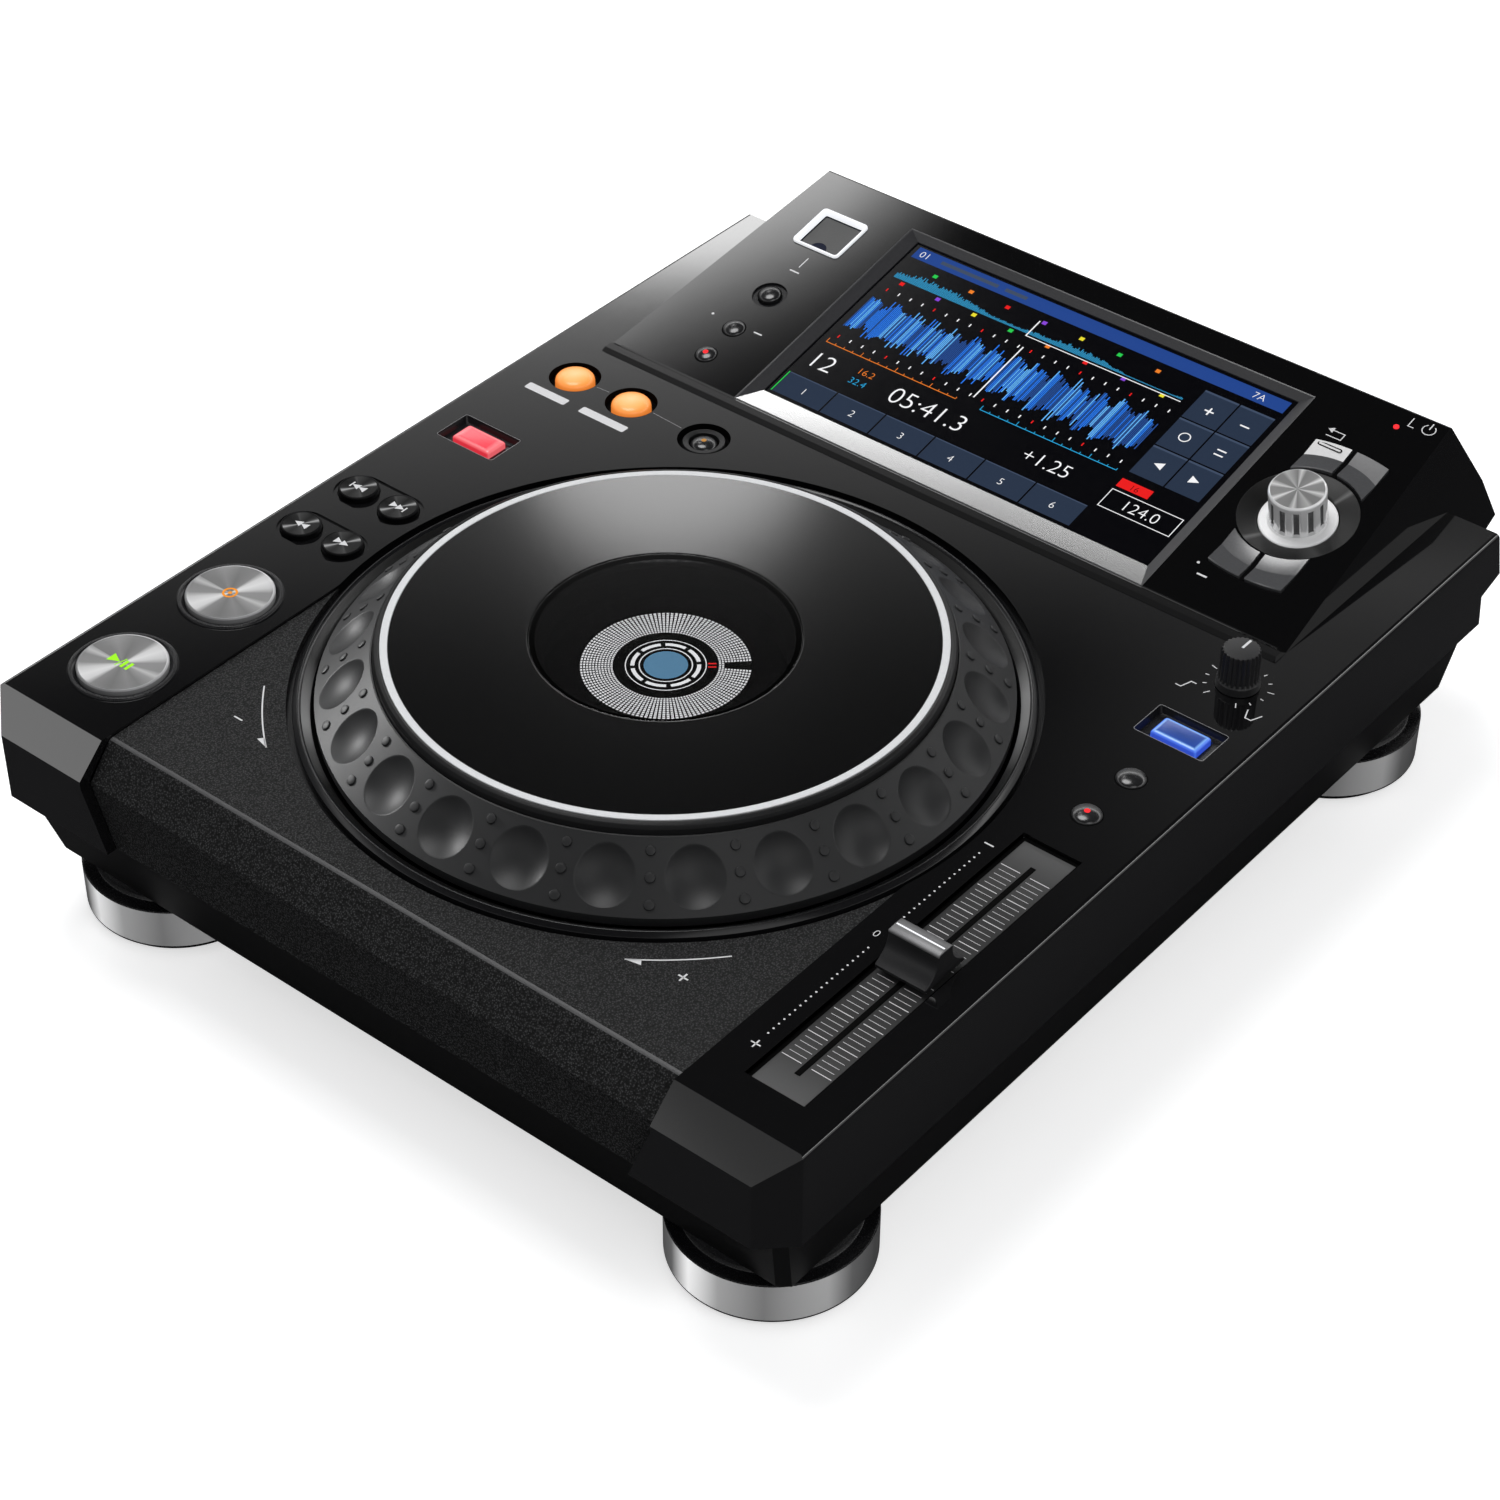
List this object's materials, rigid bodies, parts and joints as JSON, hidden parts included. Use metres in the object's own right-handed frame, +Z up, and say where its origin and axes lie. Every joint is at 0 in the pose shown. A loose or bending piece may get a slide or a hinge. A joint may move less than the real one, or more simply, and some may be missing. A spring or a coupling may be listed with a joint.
{
  "type": "tabletop dj player",
  "caption": "Flat black tabletop DJ player with a dimpled jog wheel, a tilted touch screen, a tempo fader, lit buttons and round silver feet.",
  "frame": {"origin": "middle of the footprint, on the surface the feet stand on", "axes": "+Z up, the front with its sloping nose faces -Y, +X to the right of someone playing it"},
  "size_m": [0.306, 0.385, 0.1066],
  "materials": {
    "gloss_shell": "glossy black",
    "textured_black": "fine grain, matte black",
    "case_black": "satin black",
    "housing_black": "satin to glossy black",
    "screen_bevel": "glossy dark grey bevel",
    "screen_glass": "glossy screen with a lit picture",
    "lit_white": "translucent white, lit",
    "socket_metal": "plain steel",
    "led_red": "translucent red, lit",
    "spun_black": "dark spun aluminium",
    "spun_silver": "spun silver",
    "black_ring": "black ring",
    "jog_grey": "matte dark grey",
    "jog_top": "fine-grained dark plate",
    "ring_grey": "pale ring",
    "window_dark": "dark tinted window",
    "display_face": "dark display with lit segments",
    "hidden_metal": "plain",
    "hidden_plastic": "plain",
    "board": "green circuit board",
    "key_dark": "dark grey button",
    "key_orange": "translucent orange, lit",
    "key_red": "translucent red, lit",
    "knob_black": "black",
    "fader_grey": "satin grey with white lines",
    "foot_silver": "brushed silver",
    "foot_black": "glossy black",
    "rubber_black": "black rubber"
  },
  "bodies": {
    "case": {"deck_cover": "gloss_shell", "front_panel": "textured_black", "bottom_case": "case_black", "rear_panel": "case_black", "display_housing": "housing_black", "screen_frame": "screen_bevel", "touch_panel": "screen_glass", "lcd_module": "hidden_metal", "usb_frame": "lit_white", "usb_socket": "socket_metal", "standby_led": "led_red", "selector_collar": "spun_black", "display_board": "board", "jog_bezel": "black_ring", "jog_base": "hidden_plastic", "jog_display": "display_face", "jog_sensor": "hidden_plastic", "transport_rings": "black_ring", "fader_plate": "fader_grey", "fader_body": "hidden_metal", "main_board": "board", "key_boards": "board", "power_supply": "board", "audio_jacks": "socket_metal", "data_sockets": "socket_metal", "ac_inlet": "hidden_plastic", "foot_rings": "foot_silver", "foot_pads": "rubber_black", "foot_cores": "foot_black", "case_screws": "hidden_metal"},
    "jog": {"jog_wheel": "jog_grey", "jog_plate": "jog_top", "jog_light_ring": "ring_grey", "jog_window": "window_dark", "jog_hub": "hidden_plastic"},
    "fader_knob": {"fader_knob": "knob_black"},
    "selector_plunger": {"selector_plunger": "hidden_metal"},
    "selector_knob": {"selector_knob": "spun_silver"},
    "speed_knob": {"speed_knob": "knob_black"},
    "power_button": {"power_button": "key_dark"},
    "play_button": {"play_button": "spun_silver"},
    "cue_button": {"cue_button": "spun_silver"},
    "search_back_button": {"search_back_button": "spun_black"},
    "search_forward_button": {"search_forward_button": "spun_black"},
    "track_search_back_button": {"track_search_back_button": "spun_black"},
    "track_search_forward_button": {"track_search_forward_button": "spun_black"},
    "loop_in_button": {"loop_in_button": "key_orange"},
    "loop_out_button": {"loop_out_button": "key_orange"},
    "reloop_button": {"reloop_button": "key_dark"},
    "direction_button": {"direction_button": "key_red"},
    "jog_mode_button": {"jog_mode_button": "key_dark"},
    "master_tempo_button": {"master_tempo_button": "key_dark"},
    "tempo_range_button": {"tempo_range_button": "key_dark"},
    "usb_stop_button": {"usb_stop_button": "key_dark"},
    "time_mode_button": {"time_mode_button": "key_dark"},
    "quantize_button": {"quantize_button": "key_dark"},
    "back_button": {"back_button": "key_dark"},
    "tag_button": {"tag_button": "key_dark"},
    "filter_button": {"filter_button": "key_dark"},
    "shortcut_button": {"shortcut_button": "key_dark"}
  },
  "joints": [
    {"name": "jog_turn", "type": "hinge", "parent": "case", "child": "jog", "pos_m": [0, -0.0573, 0.083], "axis": [0, 0, 1], "continuous": true},
    {"name": "fader_slide", "type": "slide", "parent": "case", "child": "fader_knob", "axis": [0, 1, 0], "range_m": [-0.05, 0.05]},
    {"name": "selector_press", "type": "slide", "parent": "case", "child": "selector_plunger", "axis": [0, -0.2084, 0.978], "range_m": [-0.0005, 0], "stiffness_N_per_m": 3000, "springref_m": 0.0007},
    {"name": "selector_turn", "type": "hinge", "parent": "selector_plunger", "child": "selector_knob", "pos_m": [0.1055, 0.12267, 0.09369], "axis": [0, -0.2084, 0.978], "continuous": true},
    {"name": "speed_turn", "type": "hinge", "parent": "case", "child": "speed_knob", "pos_m": [0.1312, 0.051, 0.083], "axis": [0, 0, 1], "range_deg": [-150, 150]},
    {"name": "play_press", "type": "slide", "parent": "case", "child": "play_button", "axis": [0, 0, 1], "range_m": [-0.0008, 0], "stiffness_N_per_m": 900, "springref_m": 0.0008},
    {"name": "cue_press", "type": "slide", "parent": "case", "child": "cue_button", "axis": [0, 0, 1], "range_m": [-0.0008, 0], "stiffness_N_per_m": 900, "springref_m": 0.0008},
    {"name": "search_back_press", "type": "slide", "parent": "case", "child": "search_back_button", "axis": [0, 0, 1], "range_m": [-0.0008, 0], "stiffness_N_per_m": 900, "springref_m": 0.0008},
    {"name": "search_forward_press", "type": "slide", "parent": "case", "child": "search_forward_button", "axis": [0, 0, 1], "range_m": [-0.0008, 0], "stiffness_N_per_m": 900, "springref_m": 0.0008},
    {"name": "track_search_back_press", "type": "slide", "parent": "case", "child": "track_search_back_button", "axis": [0, 0, 1], "range_m": [-0.0008, 0], "stiffness_N_per_m": 900, "springref_m": 0.0008},
    {"name": "track_search_forward_press", "type": "slide", "parent": "case", "child": "track_search_forward_button", "axis": [0, 0, 1], "range_m": [-0.0008, 0], "stiffness_N_per_m": 900, "springref_m": 0.0008},
    {"name": "loop_in_press", "type": "slide", "parent": "case", "child": "loop_in_button", "axis": [0, 0, 1], "range_m": [-0.0008, 0], "stiffness_N_per_m": 900, "springref_m": 0.0008},
    {"name": "loop_out_press", "type": "slide", "parent": "case", "child": "loop_out_button", "axis": [0, 0, 1], "range_m": [-0.0008, 0], "stiffness_N_per_m": 900, "springref_m": 0.0008},
    {"name": "reloop_press", "type": "slide", "parent": "case", "child": "reloop_button", "axis": [0, 0, 1], "range_m": [-0.0008, 0], "stiffness_N_per_m": 900, "springref_m": 0.0008},
    {"name": "direction_press", "type": "slide", "parent": "case", "child": "direction_button", "axis": [0, 0, 1], "range_m": [-0.0008, 0], "stiffness_N_per_m": 900, "springref_m": 0.0008},
    {"name": "jog_mode_press", "type": "slide", "parent": "case", "child": "jog_mode_button", "axis": [0, 0, 1], "range_m": [-0.0008, 0], "stiffness_N_per_m": 900, "springref_m": 0.0008},
    {"name": "master_tempo_press", "type": "slide", "parent": "case", "child": "master_tempo_button", "axis": [0, 0, 1], "range_m": [-0.0008, 0], "stiffness_N_per_m": 900, "springref_m": 0.0008},
    {"name": "tempo_range_press", "type": "slide", "parent": "case", "child": "tempo_range_button", "axis": [0, 0, 1], "range_m": [-0.0008, 0], "stiffness_N_per_m": 900, "springref_m": 0.0008},
    {"name": "usb_stop_press", "type": "slide", "parent": "case", "child": "usb_stop_button", "axis": [0, -0.2084, 0.978], "range_m": [-0.0008, 0], "stiffness_N_per_m": 900, "springref_m": 0.0008},
    {"name": "time_mode_press", "type": "slide", "parent": "case", "child": "time_mode_button", "axis": [0, -0.2084, 0.978], "range_m": [-0.0008, 0], "stiffness_N_per_m": 900, "springref_m": 0.0008},
    {"name": "quantize_press", "type": "slide", "parent": "case", "child": "quantize_button", "axis": [0, -0.2084, 0.978], "range_m": [-0.0008, 0], "stiffness_N_per_m": 900, "springref_m": 0.0008},
    {"name": "back_press", "type": "slide", "parent": "case", "child": "back_button", "axis": [0, -0.2084, 0.978], "range_m": [-0.0008, 0], "stiffness_N_per_m": 900, "springref_m": 0.0008},
    {"name": "tag_press", "type": "slide", "parent": "case", "child": "tag_button", "axis": [0, -0.2084, 0.978], "range_m": [-0.0008, 0], "stiffness_N_per_m": 900, "springref_m": 0.0008},
    {"name": "filter_press", "type": "slide", "parent": "case", "child": "filter_button", "axis": [0, -0.2084, 0.978], "range_m": [-0.0008, 0], "stiffness_N_per_m": 900, "springref_m": 0.0008},
    {"name": "shortcut_press", "type": "slide", "parent": "case", "child": "shortcut_button", "axis": [0, -0.2084, 0.978], "range_m": [-0.0008, 0], "stiffness_N_per_m": 900, "springref_m": 0.0008},
    {"name": "power_press", "type": "slide", "parent": "case", "child": "power_button", "axis": [0, -1, 0], "range_m": [0, 0.0015], "stiffness_N_per_m": 500, "springref_m": -0.0015}
  ]
}
